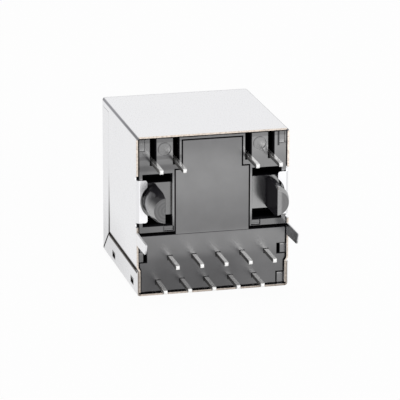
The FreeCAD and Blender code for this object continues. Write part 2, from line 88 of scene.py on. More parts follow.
# Sizes for the finishes, in millimetres. Levels are heights, depths run inwards from the board side,
# and places across are measured from the middle.
# The folded sheet: its thickness, the outer radius of its bends and the gap under its flaps
SHEET = 0.18
BEND = 0.38
FLAP_GAP = 0.03
# Levels in the gaps below and above the ears, which part them from the rest of the board edge
EAR_LOW = 7.5
EAR_HIGH = 12.5
# Latch windows: their depths, and the level and half the length and height of the stains round them
WINDOWS = (2.25, 11.0)
WINDOW_LEVEL = 1.07
WINDOW_HALF = (0.65, 0.34)
# Top of the flaps folded up from the back panel, and depth at which the side panels end
FLAP_TOP = 2.6
PANEL_END = 13.1
# Mitre between the flaps: depth and level of its upper end, and the direction across it
MITRE_DEPTH = 13.45
MITRE_LEVEL = 2.7
MITRE_ACROSS = (0.666, 0.746)
# Levels of the joggle, below which the shell's sides lie further in
JOGGLE_LOW = 2.68
JOGGLE_TOP = 3.03
# Tops of the housing and of the carrier's block
HOUSING_TOP = 16.63
BLOCK_TOP = 6.25
# Posts: their level, where their round sides start and their axes lie across, the depth at which
# their tips begin, and the pitch of the turning marks on their ends
POST_LEVEL = 10.02
POST_FLAT = 5.85
POST_AXIS = 5.715
POST_TIP = -2.85
TURNING_PITCH = 0.34
# Flanks of the ribs on the side of the islands, and half the islands' height
RIB_FLANK = 4.2
ISLAND_HALF = 1.75
# Half the width of the slots of the light leads
LEAD_SLOT_HALF = 0.33
# Marks of the mould: round ejectors above the leads, pads in the corners and bars below the posts
EJECTOR_RISE = 1.32
EJECTOR_RADIUS = 0.66
PAD_INNER = 7.04
PAD_LOW = 15.24
BAR_INNER = 4.1
BAR_OUTER = 5.05
BAR_LOW = 6.7
BAR_HIGH = 7.2

# Refractive index of the mouldings' glossy skin, above that of plastic to match its shine
SKIN_IOR = 3.8

# Copies of CAD nodes: points this near in metres are merged, faces this flat are joined, edges
# sharper than this are rounded, and edges sharper than this stay creased in the shading
MERGE_GAP = 1e-7
FLAT_ANGLE = math.radians(0.5)
ROUNDED_ANGLE = math.radians(25)
CREASED_ANGLE = math.radians(40)


class Wire:
    """An output socket of a node tree. Arithmetic on it adds Math nodes."""

    def __init__(self, nodes, socket):
        self.nodes = nodes
        self.socket = socket

    def math(self, operation, *values):
        """Math node of an operation on wires and numbers."""
        inputs = dict(enumerate(values))
        return self.nodes.add("ShaderNodeMath", {"operation": operation}, inputs)

    def __add__(self, other):
        return self.math("ADD", self, other)

    def __radd__(self, other):
        return self.math("ADD", other, self)

    def __sub__(self, other):
        return self.math("SUBTRACT", self, other)

    def __rsub__(self, other):
        return self.math("SUBTRACT", other, self)

    def __mul__(self, other):
        return self.math("MULTIPLY", self, other)

    def __rmul__(self, other):
        return self.math("MULTIPLY", other, self)

    def __truediv__(self, other):
        return self.math("DIVIDE", self, other)

    def __abs__(self):
        return self.math("ABSOLUTE", self)

    def at_least(self, other):
        """The greater of two values."""
        return self.math("MAXIMUM", self, other)

    def at_most(self, other):
        """The lesser of two values."""
        return self.math("MINIMUM", self, other)

    def over(self, limit):
        """1 where the value is over a limit, and 0 elsewhere."""
        return self.math("GREATER_THAN", self, limit)

    def under(self, limit):
        """1 where the value is under a limit, and 0 elsewhere."""
        return self.math("LESS_THAN", self, limit)

    def between(self, low, high):
        """1 where the value is between two limits, and 0 elsewhere."""
        return self.over(low) * self.under(high)

    def ramp(self, start, end):
        """Smooth step from 0 at start to 1 at end."""
        settings = {"interpolation_type": "SMOOTHSTEP"}
        inputs = {"Value": self, "From Min": start, "From Max": end}
        return self.nodes.add("ShaderNodeMapRange", settings, inputs)

    def fade(self, start, end):
        """Smooth step from 1 at start to 0 at end."""
        return 1 - self.ramp(start, end)

    def near(self, place, start, end):
        """1 near a place, fading to 0 between two distances from it."""
        return abs(self - place).fade(start, end)

    def repeat(self, pitch):
        """Distance from the nearest whole number of pitches."""
        return self.math("PINGPONG", self, pitch / 2)

    def slant(self, other):
        """Length of a line that runs this far one way and the other value far across it."""
        square = self * self + other * other
        return square.math("SQRT", square)


class NodeKit:
    """The nodes of a material or of the world."""

    def __init__(self, tree):
        self.tree = tree
        self.links = tree.links

    def add(self, kind, settings=None, inputs=None, output=0):
        """New node of a kind, with its settings and then the values or links of its inputs."""
        node = self.tree.nodes.new(kind)
        for name, value in (settings or {}).items():
            setattr(node, name, value)
        for name, value in (inputs or {}).items():
            self.feed(node.inputs[name], value)
        return Wire(self, node.outputs[output])

    def feed(self, socket, value):
        """Links a socket to a wire, or sets its value."""
        if isinstance(value, Wire):
            self.links.new(value.socket, socket)
        elif socket.type == "RGBA":
            socket.default_value = (*value[:3], 1)
        else:
            socket.default_value = value


class Finish(NodeKit):
    """A material with one Principled shader, patterned on places in the object in millimetres."""

    def __init__(self, name):
        self.material = bpy.data.materials.new(name)
        self.material.use_nodes = True
        super().__init__(self.material.node_tree)
        self.shader = self.tree.nodes["Principled BSDF"]
        point = self.add("ShaderNodeTexCoord", output="Object")
        self.place = self.scaled(point, (1 / MM,) * 3)
        self.x, self.y, self.z = self.parts(self.place)

    def parts(self, vector):
        """X, Y and Z of a vector."""
        split = self.tree.nodes.new("ShaderNodeSeparateXYZ")
        self.feed(split.inputs["Vector"], vector)
        return [Wire(self, output) for output in split.outputs]

    def trait(self, name):
        """Value of one of the face attributes that a finished copy has."""
        return self.add("ShaderNodeAttribute", {"attribute_name": name}, output="Fac")

    def scaled(self, vector, factors):
        """Vector with each part multiplied by a factor."""
        return self.add("ShaderNodeVectorMath", {"operation": "MULTIPLY"}, {0: vector, 1: factors})

    def noise(self, stretch, detail):
        """Noise from 0 to 1, with so many swings in a millimetre along X, Y and Z."""
        point = self.scaled(self.place, stretch)
        inputs = {"Vector": point, "Scale": 1.0, "Detail": detail, "Roughness": 0.5}
        return self.add("ShaderNodeTexNoise", None, inputs)

    def mix(self, share, first, second):
        """First colour where the share is 0, second where it is 1."""
        settings = {"data_type": "RGBA", "blend_type": "MIX"}
        return self.add("ShaderNodeMix", settings, {"Factor": share, 6: first, 7: second}, output=2)

    def shaded(self, colour, tone):
        """Colour multiplied by a tone."""
        return self.add("ShaderNodeVectorMath", {"operation": "SCALE"}, {0: colour, "Scale": tone})

    def bump(self, height, depth):
        """Normal of a relief of so many millimetres."""
        inputs = {"Height": height, "Distance": depth * MM, "Strength": 1.0}
        return self.add("ShaderNodeBump", None, inputs)

    def set(self, **sockets):
        """Feeds the shader's sockets, named with _ for each space."""
        for name, value in sockets.items():
            self.feed(self.shader.inputs[name.replace("_", " ")], value)
        return self.material


def settle(form, surface, room):
    """Draws points that a bevel threw further than the room back onto the CAD surface."""
    for vert in form.verts:
        near, _, _, distance = surface.find_nearest(vert.co)
        if distance > room:
            vert.co = near


def finished_copy(node, finish, radius=0.0, segments=2):
    """Copy of a CAD node, shaded smooth and with its edges rounded if a radius is given, which then stands
    for the node.
    """
    form = bmesh.new()
    form.from_mesh(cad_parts[node].data)
    bmesh.ops.remove_doubles(form, verts=form.verts, dist=MERGE_GAP)
    bmesh.ops.dissolve_limit(form, angle_limit=FLAT_ANGLE, use_dissolve_boundaries=False,
                             verts=form.verts, edges=form.edges)
    if radius:
        surface = BVHTree.FromBMesh(form)
        sharp = [edge for edge in form.edges if edge.calc_face_angle() > ROUNDED_ANGLE]
        bmesh.ops.bevel(form, geom=sharp, offset=radius, offset_type="OFFSET", affect="EDGES",
                        segments=segments, profile=0.5, material=-1, clamp_overlap=False)
        settle(form, surface, radius)
    facing = form.faces.layers.float.new("facing")
    sideways = form.faces.layers.float.new("sideways")
    for face in form.faces:
        face[facing] = max(-face.normal.y, 0)
        face[sideways] = abs(face.normal.x)
    name = f"{node}_finished"
    mesh = bpy.data.meshes.new(name)
    form.to_mesh(mesh)
    form.free()
    mesh.shade_smooth()
    mesh.set_sharp_from_angle(angle=CREASED_ANGLE)
    mesh.materials.append(finish)
    piece = bpy.data.objects.new(name, mesh)
    bpy.context.scene.collection.objects.link(piece)
    soften = piece.modifiers.new("Even shading", "WEIGHTED_NORMAL")
    soften.keep_sharp = True
    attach(piece, BODY)
    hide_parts(node)


def dress(node, finish):
    """Gives a CAD node its finish."""
    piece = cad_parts[node]
    piece.data.materials.clear()
    piece.data.materials.append(finish)


def nodes_named(start):
    """Names of the CAD nodes that start with these words."""
    return sorted(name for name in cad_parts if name.startswith(start))


class ShieldSettings(PropertyGroup):
    plating: FloatVectorProperty(name="Plating", description="Colour of the plated faces",
                                 subtype="COLOR", default=(0.80, 0.80, 0.815), min=0, max=1)
    shell_edge: FloatVectorProperty(name="Shell edge", description="Colour of the shell's sheared edges",
                                    subtype="COLOR", default=(0.77, 0.68, 0.60), min=0, max=1)
    cover_edge: FloatVectorProperty(name="Cover edge", description="Colour of the cover's sheared edges",
                                    subtype="COLOR", default=(0.56, 0.49, 0.43), min=0, max=1)
    # Painted dark reflection along the long bends, lighter towards the back
    bend_shade: FloatVectorProperty(name="Bend line",
                                   description="Colour of the dulled plating on the long bends",
                                   subtype="COLOR", default=(0.33, 0.33, 0.355), min=0, max=1)
    # Painted shade in the grooves beside the flaps, in the mitre and round the windows
    groove_shade: FloatVectorProperty(name="Groove", description="Colour of the stained grooves beside the flaps",
                                subtype="COLOR", default=(0.11, 0.10, 0.093), min=0, max=1)
    roughness: FloatProperty(name="Roughness", description="Roughness of the plated faces",
                             subtype="FACTOR", default=0.28, min=0, max=1)


class MouldingSettings(PropertyGroup):
    plastic: FloatVectorProperty(name="Plastic", description="Colour of the black mouldings",
                                 subtype="COLOR", default=(0.0225, 0.0215, 0.025), min=0, max=1)
    roughness: FloatProperty(name="Roughness", description="Roughness of the moulded faces",
                             subtype="FACTOR", default=0.4, min=0, max=1)
    skin: FloatProperty(name="Skin", description="Gloss of the skin on the board side",
                        subtype="FACTOR", default=1.0, min=0, max=1)
    edge: FloatProperty(name="Edge", description="Radius of the moulded edges",
                        subtype="DISTANCE", default=0.03 * MM, min=0)


class PinSettings(PropertyGroup):
    tin: FloatVectorProperty(name="Tin", description="Colour of the tinned wire",
                             subtype="COLOR", default=(0.93, 0.925, 0.915), min=0, max=1)
    # Colour of the left and right sides: painted shade, on sides that are also sheared and duller
    sheared: FloatVectorProperty(name="Sheared side",
                                 description="Colour of the sheared sides, left and right",
                                 subtype="COLOR", default=(0.16, 0.157, 0.153), min=0, max=1)
    roughness: FloatProperty(name="Roughness", description="Roughness of the tinned wire",
                             subtype="FACTOR", default=0.24, min=0, max=1)
    edge: FloatProperty(name="Edge", description="Radius of the wire's edges",
                        subtype="DISTANCE", default=0.07 * MM, min=0)


class ContactSettings(PropertyGroup):
    gilt: FloatVectorProperty(name="Gilt", description="Colour of the gilt spring wire",
                              subtype="COLOR", default=(0.90, 0.66, 0.28), min=0, max=1)
    worn: FloatVectorProperty(name="Worn", description="Colour of the gilt where it is thin",
                              subtype="COLOR", default=(0.76, 0.60, 0.38), min=0, max=1)
    edge: FloatProperty(name="Edge", description="Radius of the wire's edges",
                        subtype="DISTANCE", default=0.04 * MM, min=0)


class LightSettings(PropertyGroup):
    green: FloatVectorProperty(name="Green", description="Tint of the left light",
                               subtype="COLOR", default=(0.42, 0.80, 0.40), min=0, max=1)
    amber: FloatVectorProperty(name="Amber", description="Tint of the right light",
                               subtype="COLOR", default=(0.95, 0.62, 0.16), min=0, max=1)


class ModuleSettings(PropertyGroup):
    mask: FloatVectorProperty(name="Solder mask", description="Colour of the module board",
                              subtype="COLOR", default=(0.02, 0.17, 0.07), min=0, max=1)
    trace: FloatVectorProperty(name="Trace", description="Colour of the mask over the copper",
                               subtype="COLOR", default=(0.04, 0.29, 0.11), min=0, max=1)
    ferrite: FloatVectorProperty(name="Ferrite", description="Colour of the coil rings",
                                 subtype="COLOR", default=(0.07, 0.07, 0.075), min=0, max=1)
    copper: FloatVectorProperty(name="Copper", description="Colour of the enamelled wire",
                                subtype="COLOR", default=(0.72, 0.30, 0.12), min=0, max=1)
    glaze: FloatVectorProperty(name="Glaze", description="Colour of the resistors",
                               subtype="COLOR", default=(0.02, 0.02, 0.022), min=0, max=1)
    ceramic: FloatVectorProperty(name="Ceramic", description="Colour of the capacitor",
                                 subtype="COLOR", default=(0.46, 0.32, 0.19), min=0, max=1)
    turns: FloatProperty(name="Turns", description="Turns of wire in a full ring", default=36, min=1)


class StudioSettings(PropertyGroup):
    floor: FloatVectorProperty(name="Floor", description="Colour of the floor",
                               subtype="COLOR", default=(0.9, 0.9, 0.9), min=0, max=1)
    target: FloatVectorProperty(name="Target", description="Point that the camera looks at",
                                subtype="XYZ", unit="LENGTH",
                                default=(0.63 * MM, 1.826 * MM, 7.352 * MM))
    azimuth: FloatProperty(name="Azimuth", description="Camera's turn to the left of the board side",
                           subtype="ANGLE", default=math.radians(-13.976))
    elevation: FloatProperty(name="Elevation", description="Camera's height above the horizon",
                             subtype="ANGLE", default=math.radians(16.639))
    roll: FloatProperty(name="Roll", description="Turn of the picture",
                        subtype="ANGLE", default=math.radians(0.110))
    distance: FloatProperty(name="Distance", description="Camera's distance from its target",
                            subtype="DISTANCE", default=310 * MM, min=0)
    lens: FloatProperty(name="Lens", description="Focal length of the camera",
                        unit="CAMERA", default=266.52)
    ambient: FloatProperty(name="Ambient", description="Light from all round", default=0.55, min=0)
    front: FloatProperty(name="Front lamp", description="Power of the front softbox",
                         unit="POWER", default=0.9, min=0)
    above: FloatProperty(name="Upper lamp", description="Power of the softbox above",
                         unit="POWER", default=0.4, min=0)


def shield_painted_shade(f, across, depth):
    """Share and tone of the painted shade in the grooves and the mitre, on the flaps' lips, round the
    windows and beside the ends of the side panels.
    """
    low_band = f.z.fade(JOGGLE_TOP - 0.07, JOGGLE_TOP + 0.15)
    sunk = across.fade(shield_half - 0.06, shield_half - 0.02) * depth.over(1)
    joggle = low_band * f.z.over(JOGGLE_LOW) * depth.under(PANEL_END)
    outside = across.over(shield_half - SHEET - 2 * FLAP_GAP) * f.z.under(shield_top - BEND)
    grooves = sunk.at_least(joggle) * outside
    # Painted shade streak beside the ends of the side panels, fading upwards
    shade_streak = depth.ramp(PANEL_END - 0.45, PANEL_END - 0.05) * depth.under(PANEL_END + SHEET)
    shade_streak = shade_streak * f.z.over(JOGGLE_LOW) * f.z.fade(3.5, 10)
    off_mitre = abs((depth - MITRE_DEPTH) * MITRE_ACROSS[0] + (f.z - MITRE_LEVEL) * MITRE_ACROSS[1])
    mitre = off_mitre.fade(0.09, 0.18) * depth.over(MITRE_DEPTH) * f.z.under(MITRE_LEVEL)
    beside = abs(depth - WINDOWS[0]).at_most(abs(depth - WINDOWS[1])) - WINDOW_HALF[0]
    rim = beside.at_least(abs(f.z - WINDOW_LEVEL) - WINDOW_HALF[1]).fade(0, 0.08)
    lip = f.z.ramp(FLAP_TOP - 0.17, FLAP_TOP - 0.1) * f.z.under(JOGGLE_LOW) * depth.under(MITRE_DEPTH)
    skirt = across.over(shield_half - FLAP_GAP)
    share = grooves.at_least(shade_streak.at_least(mitre).at_least(rim * 0.85).at_least(lip) * skirt)
    tone = 0.45 + f.z.ramp(4, 10) * 1.5 + low_band * f.z.over(FLAP_TOP - 0.2) * 0.75
    return share, tone


def plating_finish(name, settings, cut_edge, low_tone):
    """Plated sheet: rolled grain, bare sheared edges, a painted dark reflection on the long bends and
    painted shade in the grooves.
    """
    f = Finish(name)
    grain = f.noise((26, 1.1, 26), detail=4)
    cloud = f.noise((0.22, 0.16, 0.22), detail=2)
    burr = f.noise((5, 5, 5), detail=3)
    across = abs(f.x)
    depth = f.y - board_edge
    ears = f.z.between(EAR_LOW, EAR_HIGH)
    front = abs(depth).under(0.01)
    low_rim = f.z.under(JOGGLE_LOW) * across.over(shield_half - 2 * SHEET - 2 * FLAP_GAP)
    right_rim = f.x.over(shield_half - SHEET) * f.z.over(EAR_HIGH)
    cut = front * (1 - ears) * (1 - low_rim * across.over(shield_half - SHEET / 2))
    corner = abs((across - (shield_half - BEND)) - (f.z - (shield_top - BEND)))
    bend = corner.fade(0.1, 0.28) * across.over(shield_half - BEND) * f.z.over(shield_top - BEND)
    # Painted shade in the grooves, the mitre, on the flaps' lips and round the windows
    painted_shade, painted_shade_tone = shield_painted_shade(f, across, depth)
    painted_shade = painted_shade * (1 - cut)
    burr_line = depth.fade(0.03, 0.13) * depth.over(0.005)
    burr_line = burr_line * across.over(shield_half - FLAP_GAP) * f.z.over(JOGGLE_LOW)
    # Painted shade on the inside of the right tab, darker further out
    tab_inside = f.x.over(0) * across.under(shield_half - SHEET / 2) * depth.under(-SHEET)
    # Painted shade low on the panels, deepening towards the back
    far_low = depth.ramp(2, 11) * f.z.fade(3, 7)
    upper = f.z.ramp(2, 4) * 0.8
    # The front faces of the ears get a painted highlight
    tone = low_tone * (1 - upper) + upper + front * ears * 0.2
    tone = tone - far_low * 0.12 - tab_inside * (0.52 - depth * 0.06)
    tone = tone * (0.985 + cloud * 0.03 + grain * 0.012)
    # Burrs vary the cut edges; low by the flaps they get painted shade, and on the right rim a painted
    # highlight
    edge_tone = (0.7 + burr.ramp(0.35, 0.6) * 0.3) * (1 - low_rim * 0.38) * (1 + right_rim * 0.3)
    colour = f.mix(burr_line * 0.38, f.shaded(settings.plating, tone), settings.cover_edge)
    colour = f.mix(cut, colour, f.shaded(cut_edge, edge_tone))
    # Painted dark reflection on the long bends, lighter towards the back
    colour = f.mix(bend, colour, f.shaded(settings.bend_shade, 0.48 + depth.ramp(0, 12) * 0.32))
    colour = f.mix(painted_shade, colour, f.shaded(settings.groove_shade, painted_shade_tone))
    rough = settings.roughness + (grain - 0.5) * 0.08 + bend * 0.15 + painted_shade * 0.2 + cut * 0.1
    return f.set(Base_Color=colour, Metallic=1.0, Roughness=rough, Normal=f.bump(grain, 0.0008))


def post_shine(f, across, depth, gloss):
    """Shine of the posts: turned ends, painted highlights on the lower round sides and on the right post's
    tip and end, and dark streaked flats.
    """
    right = f.x.over(0)
    tip = depth.under(POST_TIP)
    # Painted highlights low on the round sides, on the right tip's upper part and on the right post's end
    lower = (f.z - depth * 0.13 - POST_LEVEL).fade(0.35, 1.55)
    upper = (1 - lower) * tip * right * 0.85
    flank = across.over(POST_FLAT) * (1 - gloss) * (0.1 + lower * (0.85 + tip * 0.15) + upper)
    lit = f.x.fade(6.15, 6.4).at_least(f.z.ramp(POST_LEVEL + 0.9, POST_LEVEL + 1.4)) * 0.42
    radius = (across - POST_AXIS).slant(f.z - POST_LEVEL)
    turned = radius.repeat(TURNING_PITCH) / (TURNING_PITCH / 2)
    end = gloss * (0.54 + right * (0.03 + lit)) * (1 - turned * (0.28 - right * 0.2))
    streak = f.noise((1, 6, 0.3), detail=2).ramp(0.35, 0.65)
    return end.at_least(flank).at_least(0.02 + streak * 0.04)


def ejector_marks(f, across):
    """Rims of the round ejector marks, and the tone that shades their upper left."""
    beside = (across - (inner_lead + outer_lead) / 2) * (f.x.over(0) * 2 - 1)
    above = f.z - (lead_level + EJECTOR_RISE)
    rim = beside.slant(above).near(EJECTOR_RADIUS, 0.03, 0.12)
    return rim, 1 - rim * (above - beside).ramp(0.1, 0.6) * 0.5


def pad_marks(f, across):
    """Corner pads, and the tone that shades their feet and the inner side of the right one."""
    pad = across.over(PAD_INNER - 0.1) * f.z.over(PAD_LOW - 0.06)
    foot = pad * across.over(PAD_INNER) * f.z.under(PAD_LOW + 0.2)
    side = f.x.near(PAD_INNER - 0.1, 0.08, 0.13) * f.z.over(PAD_LOW - 0.25)
    return pad, (1 - foot * 0.35) * (1 - side * 0.8)


def bar_tone(f, across):
    """Tone that shades the feet of the bar marks and the ends of the left one."""
    bar = f.z.between(BAR_LOW - 0.05, BAR_HIGH)
    foot = bar * f.z.under(BAR_LOW + 0.2) * across.between(BAR_INNER, BAR_OUTER)
    inner_end = f.x.near(0.03 - BAR_INNER, 0.03, 0.06)
    outer_end = f.x.near(-0.06 - BAR_OUTER, 0.04, 0.1)
    ends = bar * inner_end.at_least(outer_end * 0.6)
    return (1 - foot * 0.28) * (1 - ends * 0.75)


def lead_tone(f):
    """Tone that shades the plastic to the left of the four lead slots."""
    tone = 1
    for lead in (-outer_lead, -inner_lead, inner_lead, outer_lead):
        left = lead - LEAD_SLOT_HALF - f.x
        wedge = (f.z - left * 0.8).near(lead_level + 0.45, 0.15, 0.5)
        tone = tone * (1 - wedge * left.over(0) * left.fade(0.3, 0.8) * 0.35)
    return tone


def housing_skin(f, depth, gloss):
    """Shine of the housing's board side, painted in bands and with painted shade, and where it is glossy."""
    across = abs(f.x)
    left = f.x.under(0)
    # Painted bands of shine by height and across stand in for reflections, with painted shade near the top
    # edge
    shine = 0.55 + f.z.ramp(7.3, 8.3) * 0.4 - f.z.ramp(11.8, 12.8) * 0.27 + f.z.ramp(13.5, 15) * 0.13
    shine = shine * (1 + f.x * 0.02) * (1 - across.ramp(6.5, 7) * 0.06)
    shine = shine * (1 - f.z.ramp(16, 16.15) * 0.3)
    by_post = abs(f.z - POST_LEVEL).under(ISLAND_HALF)
    island = by_post * depth.over(0.2) * left
    shade_streak = f.z.near(14.5, 0.08, 0.3).at_least(f.z.near(13.42, 0.15, 0.45)) * left
    ejector_rim, ejector_tone = ejector_marks(f, across)
    pad, pad_tone = pad_marks(f, across)
    # Painted shade on the left island and in two streaks on the left
    shine = shine * (1 - island * 0.25) * (1 - shade_streak * 0.3)
    shine = shine * ejector_tone * pad_tone * bar_tone(f, across) * lead_tone(f)
    post = depth.under(-0.05)
    shine = shine * (1 - post) + post_shine(f, across, depth, gloss) * post
    rib = abs(across - RIB_FLANK).under(0.04) * by_post
    marks = ejector_rim.at_least(pad) * depth.over(0)
    return shine, gloss.at_least(post).at_least(rib).at_least(marks)


def carrier_shine(f):
    """Shine of the carrier's tongue and block, painted in bands by height, with painted shade to the left
    and between the lower pins.
    """
    tongue = 0.52 + f.z.ramp(7, 12) * 0.2 - f.z.ramp(13.5, 16) * 0.16
    block = 0.49 + f.z.ramp(1.8, 6) * 0.23
    block = block - f.x.fade(-6.5, -2) * (0.15 + f.z.fade(1, 5) * 0.05)
    row_shade = 0.12 + f.x.near(-1, 1.5, 6.5) * 0.3
    block = block * (1 - row_shade * (1 - f.z.ramp(3.4, 4.4) * 0.7))
    above = f.z.ramp(BLOCK_TOP - 0.4, BLOCK_TOP + 0.5)
    return above * tongue + (1 - above) * block


def moulding_finish(name, settings, node, blur):
    """Black moulded plastic: glossy on the board side, dull with painted shade in the slots, and a painted
    shadow line along its outline.
    """
    f = Finish(name)
    low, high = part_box(node)
    texture = f.noise((16, 16, 16), detail=3)
    flow = f.noise((0.5, 0.35, 0.5), detail=3)
    ragged = f.noise((1.5, 1.5, 1.5), detail=2)
    depth = f.y - board_face
    # Painted shadow line along the outline, where the mouldings meet the shield
    side = high.x / MM - f.z.fade(JOGGLE_LOW, JOGGLE_TOP) * (SHEET - FLAP_GAP)
    margin = side - abs(f.x) + f.x.over(0) * 0.18
    margin = margin.at_most(HOUSING_TOP - f.z).at_most(f.z - low.z / MM + 0.09)
    outline_shadow = (margin + (ragged - 0.5) * 0.12).fade(0.1, 0.2)
    gloss = f.trait("facing").ramp(0.93, 0.99)
    if node == "housing":
        shine, gloss = housing_skin(f, depth, gloss)
    else:
        shine = carrier_shine(f)
    skin = gloss * depth.fade(0.6, 1.1) * shine * (1 - outline_shadow) * (settings.skin + (flow - 0.5) * 0.2)
    skin = skin.at_least(depth.ramp(3, 5) * 0.12)
    # Painted shade deeper in the slots and pockets, and the painted shadow line along the outline
    tone = (0.85 + flow * 0.3) * (1 - depth.ramp(0.3, 1.2) * 0.8) * (1 - outline_shadow * 0.8)
    colour = f.shaded(settings.plastic, tone)
    rough = settings.roughness + (flow - 0.5) * 0.12 + (texture - 0.5) * 0.06
    return f.set(Base_Color=colour, Roughness=rough, IOR=1.5, Specular_IOR_Level=0.0, Coat_Weight=skin,
                 Coat_IOR=SKIN_IOR, Coat_Roughness=blur, Normal=f.bump(texture, 0.003))


def tin_finish(settings):
    """Tinned wire with draw marks along it, and painted shade on its left and right sides, which are also
    its duller sheared sides.
    """
    f = Finish("tinned wire")
    drawn = f.noise((30, 1.5, 30), detail=3)
    blotch = f.noise((1.2, 0.6, 1.2), detail=2)
    # Painted shade on the left and right sides, which are also rougher as sheared metal
    sheared = f.trait("sideways").ramp(0.75, 0.95)
    colour = f.mix(sheared, f.shaded(settings.tin, 0.96 + blotch * 0.06), settings.sheared)
    rough = settings.roughness + (drawn - 0.5) * 0.08 + sheared * 0.15
    return f.set(Base_Color=colour, Metallic=0.85, Roughness=rough, Normal=f.bump(drawn, 0.0008))


def gilt_finish(settings):
    """Gilt spring wire, thinner in patches and with draw marks along it."""
    f = Finish("gilt wire")
    drawn = f.noise((24, 1.2, 1.2), detail=3)
    patch = f.noise((0.8, 0.8, 0.8), detail=2)
    colour = f.mix(patch.ramp(0.45, 0.75), settings.gilt, settings.worn)
    rough = 0.18 + drawn * 0.12
    return f.set(Base_Color=colour, Metallic=1.0, Roughness=rough, Normal=f.bump(drawn, 0.001))


def lens_finish(name, tint):
    """Tinted clear resin with a faint haze."""
    f = Finish(name)
    haze = f.noise((0.9, 0.9, 0.9), detail=2)
    fine = f.noise((9, 9, 9), detail=2)
    colour = f.shaded(tint, 0.85 + haze * 0.25)
    rough = 0.12 + haze * 0.12
    return f.set(Base_Color=colour, Roughness=rough, IOR=1.54, Transmission_Weight=0.55,
                 Normal=f.bump(fine, 0.001))


def board_finish(settings):
    """Solder mask over parallel copper traces."""
    f = Finish("module board")
    weave = f.noise((4, 4, 4), detail=3)
    traces = f.x.repeat(0.5).fade(0.07, 0.09)
    broken = f.noise((0.6, 0.25, 0.6), detail=1).ramp(0.42, 0.46)
    copper = traces * broken
    colour = f.shaded(f.mix(copper, settings.mask, settings.trace), 0.9 + weave * 0.2)
    return f.set(Base_Color=colour, Roughness=0.32 + weave * 0.1, Normal=f.bump(copper, 0.02))


def ferrite_finish(settings):
    """Sintered ferrite, matt and finely grained."""
    f = Finish("ferrite")
    grains = f.noise((20, 20, 20), detail=4)
    colour = f.shaded(settings.ferrite, 0.75 + grains * 0.5)
    return f.set(Base_Color=colour, Roughness=0.6 + grains * 0.2, Normal=f.bump(grains, 0.01))


def winding_finish(node, settings):
    """Enamelled wire in turns round the ring of one coil."""
    f = Finish(f"{node} wire")
    low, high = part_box(node)
    middle = (low + high) / (2 * MM)
    along = f.y - middle.y
    angle = along.math("ARCTAN2", along, f.x - middle.x)
    turn = (angle * (settings.turns / (2 * math.pi))).repeat(1.0) * 2
    varnish = f.noise((3, 3, 3), detail=2)
    # Painted shade: each turn is lighter on its crest and darker where it meets the next, besides the bump
    colour = f.shaded(settings.copper, 0.55 + (1 - turn) * 0.4 + varnish * 0.1)
    rough = 0.25 + varnish * 0.12
    height = 1 - turn * turn
    return f.set(Base_Color=colour, Metallic=0.85, Roughness=rough, Normal=f.bump(height, 0.05))


def chip_finish(node, body_colour, cap_colour, cap):
    """Glazed chip with a tinned cap at each end."""
    f = Finish(f"{node} glaze")
    low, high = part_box(node)
    middle = (low.x + high.x) / (2 * MM)
    half = (high.x - low.x) / (2 * MM)
    speck = f.noise((12, 12, 12), detail=3)
    ends = abs(f.x - middle).over(half - cap)
    colour = f.shaded(f.mix(ends, body_colour, cap_colour), 0.88 + speck * 0.24)
    rough = 0.22 + speck * 0.12 + ends * 0.1
    return f.set(Base_Color=colour, Metallic=ends, Roughness=rough, Normal=f.bump(speck, 0.004))


class JACK_OT_shield(Operator):
    """Gives the two shield sheets their finishes"""

    bl_idname = "jack.shield"
    bl_label = "Shield"

    # Tones of the plating low on the sheets
    SHELL_LOW_TONE = 1.0
    COVER_LOW_TONE = 0.9

    def execute(self, context):
        settings = context.scene.jack_shield
        shell = plating_finish("shell plating", settings, settings.shell_edge, self.SHELL_LOW_TONE)
        cover = plating_finish("cover plating", settings, settings.cover_edge, self.COVER_LOW_TONE)
        finished_copy("shield_shell", shell)
        finished_copy("shield_cover", cover)
        return {"FINISHED"}


class JACK_OT_mouldings(Operator):
    """Gives the housing and the contact carrier their finishes"""

    bl_idname = "jack.mouldings"
    bl_label = "Mouldings"

    # Roughness of the glossy skins
    HOUSING_BLUR = 0.18
    CARRIER_BLUR = 0.3

    def execute(self, context):
        settings = context.scene.jack_mouldings
        housing = moulding_finish("housing plastic", settings, "housing", self.HOUSING_BLUR)
        carrier = moulding_finish("carrier plastic", settings, "contact_carrier", self.CARRIER_BLUR)
        finished_copy("housing", housing, settings.edge)
        finished_copy("contact_carrier", carrier, settings.edge)
        return {"FINISHED"}


class JACK_OT_pins(Operator):
    """Gives the board pins and the leads of the lights their finish"""

    bl_idname = "jack.pins"
    bl_label = "Pins and leads"

    def execute(self, context):
        settings = context.scene.jack_pins
        finish = tin_finish(settings)
        leads = [name for name in nodes_named("led_") if name.endswith("lead")]
        for node in nodes_named("board_pin") + leads:
            finished_copy(node, finish, settings.edge, segments=3)
        return {"FINISHED"}


class JACK_OT_contacts(Operator):
    """Gives the eight spring contacts their finish"""

    bl_idname = "jack.contacts"
    bl_label = "Contacts"

    def execute(self, context):
        settings = context.scene.jack_contacts
        finish = gilt_finish(settings)
        for node in nodes_named("contact_"):
            if node != "contact_carrier":
                finished_copy(node, finish, settings.edge)
        return {"FINISHED"}


class JACK_OT_lights(Operator):
    """Gives the two lights their finishes"""

    bl_idname = "jack.lights"
    bl_label = "Lights"

    def execute(self, context):
        settings = context.scene.jack_lights
        finished_copy("led_left", lens_finish("green resin", settings.green))
        finished_copy("led_right", lens_finish("amber resin", settings.amber))
        return {"FINISHED"}


